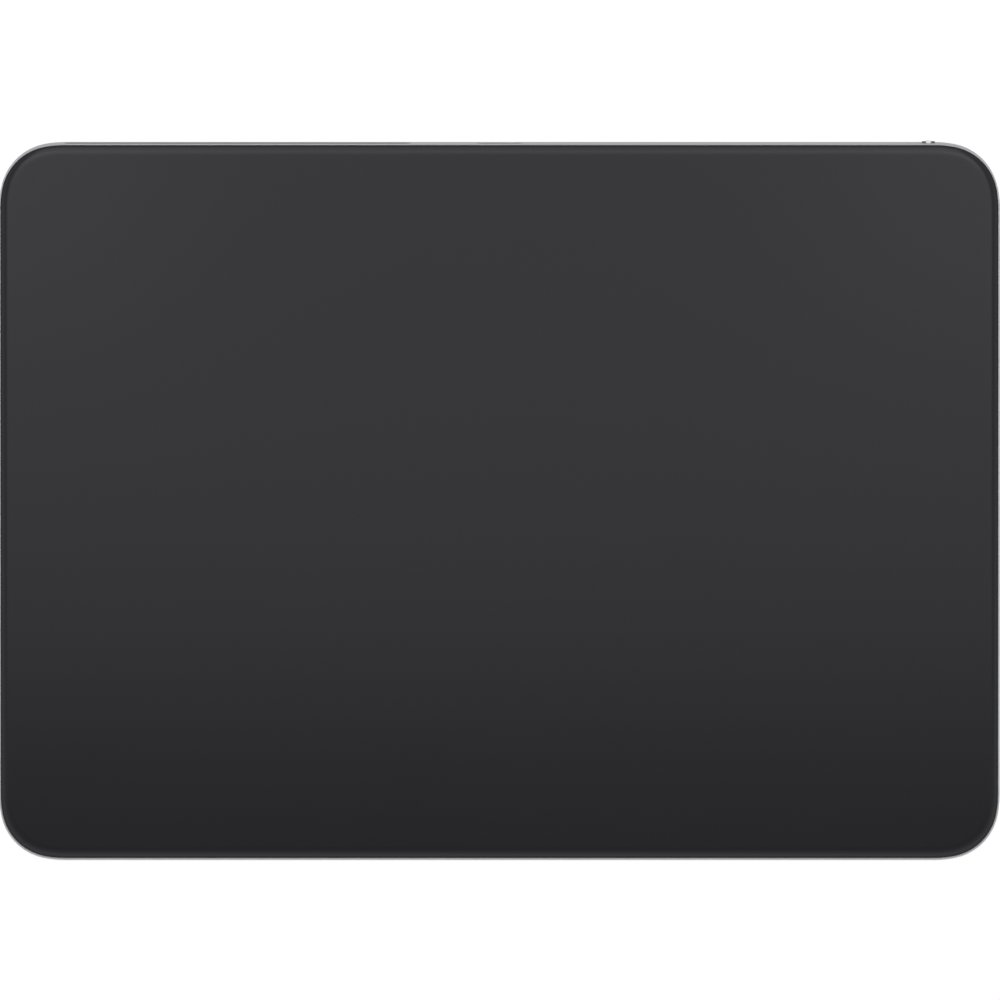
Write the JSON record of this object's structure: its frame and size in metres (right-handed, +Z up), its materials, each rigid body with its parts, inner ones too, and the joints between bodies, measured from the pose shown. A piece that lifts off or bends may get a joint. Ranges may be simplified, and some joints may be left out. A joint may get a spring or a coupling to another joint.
{
  "type": "trackpad",
  "caption": "Thin wedge-shaped desktop trackpad: black glass touch surface on a silver aluminium body with a rear charging port and slide switch.",
  "frame": {"origin": "on the desk, under the middle of the trackpad", "axes": "+X to the right along the rear edge, +Y to the rear, where the port is, +Z up"},
  "size_m": [0.16, 0.115, 0.0108],
  "materials": {
    "etched_glass": "black etched glass, satin",
    "body_aluminium": "fine bead-blasted, silver anodised",
    "cover_plastic": "light grey, fine matte",
    "foot_rubber": "grey, soft",
    "dark_plastic": "dark grey moulded plastic",
    "slider_plastic": "light grey moulded plastic",
    "plain_steel": "plain stamped steel",
    "bright_steel": "bright nickel-plated steel",
    "gold_contact": "gold-plated",
    "board_laminate": "dark circuit board",
    "chip_black": "black moulded chip",
    "flex_film": "amber flexible circuit film",
    "bond_film": "dark adhesive film",
    "gel": "clear grey gel",
    "cell_wrap": "dark foil pouch",
    "copper_wire": "enamelled copper",
    "iron_core": "laminated iron"
  },
  "bodies": {
    "chassis": {"antenna_bar": "dark_plastic", "antenna_element": "copper_wire", "antenna_lead": "bond_film", "antenna_window": "dark_plastic", "arm_screws": "bright_steel", "battery_bond": "bond_film", "battery_cell": "cell_wrap", "battery_flex": "flex_film", "battery_guard_board": "board_laminate", "battery_tabs": "bright_steel", "board_sockets": "dark_plastic", "bottom_cover": "cover_plastic", "chassis_plate": "plain_steel", "cover_bond": "bond_film", "foot_front_left": "foot_rubber", "foot_front_right": "foot_rubber", "foot_rear_left": "foot_rubber", "foot_rear_right": "foot_rubber", "force_arm_front_left": "plain_steel", "force_arm_front_right": "plain_steel", "force_arm_rear_left": "plain_steel", "force_arm_rear_right": "plain_steel", "haptic_bracket": "plain_steel", "haptic_coils": "copper_wire", "haptic_core": "iron_core", "haptic_flex": "flex_film", "haptic_screws": "bright_steel", "housing": "body_aluminium", "logic_board": "board_laminate", "logic_chips": "chip_black", "logic_screws": "bright_steel", "plate_screws": "bright_steel", "port_board": "board_laminate", "port_contacts": "gold_contact", "port_flex": "flex_film", "port_insulator": "dark_plastic", "port_screws": "bright_steel", "port_shell": "bright_steel", "rim_seal": "bond_film", "sensor_flex": "flex_film", "shield_can": "bright_steel", "slide_switch_body": "bright_steel", "strain_gauges": "flex_film", "switch_board": "board_laminate", "switch_flex": "flex_film", "switch_screws": "bright_steel"},
    "force_stage": {"gel_pads": "gel", "load_buttons": "plain_steel"},
    "touch_plate": {"touch_glass": "etched_glass", "glass_bond": "bond_film", "touch_sensor_board": "board_laminate", "sensor_chips": "chip_black", "carrier_plate": "plain_steel", "armature_plate": "plain_steel"},
    "power_switch": {"power_switch_knob": "dark_plastic", "switch_ridge": "bright_steel", "switch_shutter": "slider_plastic", "switch_lever": "slider_plastic"}
  },
  "joints": [
    {"name": "touch_press", "type": "slide", "parent": "chassis", "child": "force_stage", "axis": [0, 0.054, -0.9985], "range_m": [0, 0.00015], "stiffness_N_per_m": 3000, "springref_m": -0.0007, "deforming": ["force_arm_front_left", "force_arm_front_right", "force_arm_rear_left", "force_arm_rear_right", "sensor_flex"]},
    {"name": "haptic_shift", "type": "slide", "parent": "force_stage", "child": "touch_plate", "axis": [1, 0, 0], "range_m": [-0.0001, 0.0001], "stiffness_N_per_m": 3000},
    {"name": "power_slide", "type": "slide", "parent": "chassis", "child": "power_switch", "axis": [1, 0, 0], "range_m": [-0.0025, 0]}
  ]
}
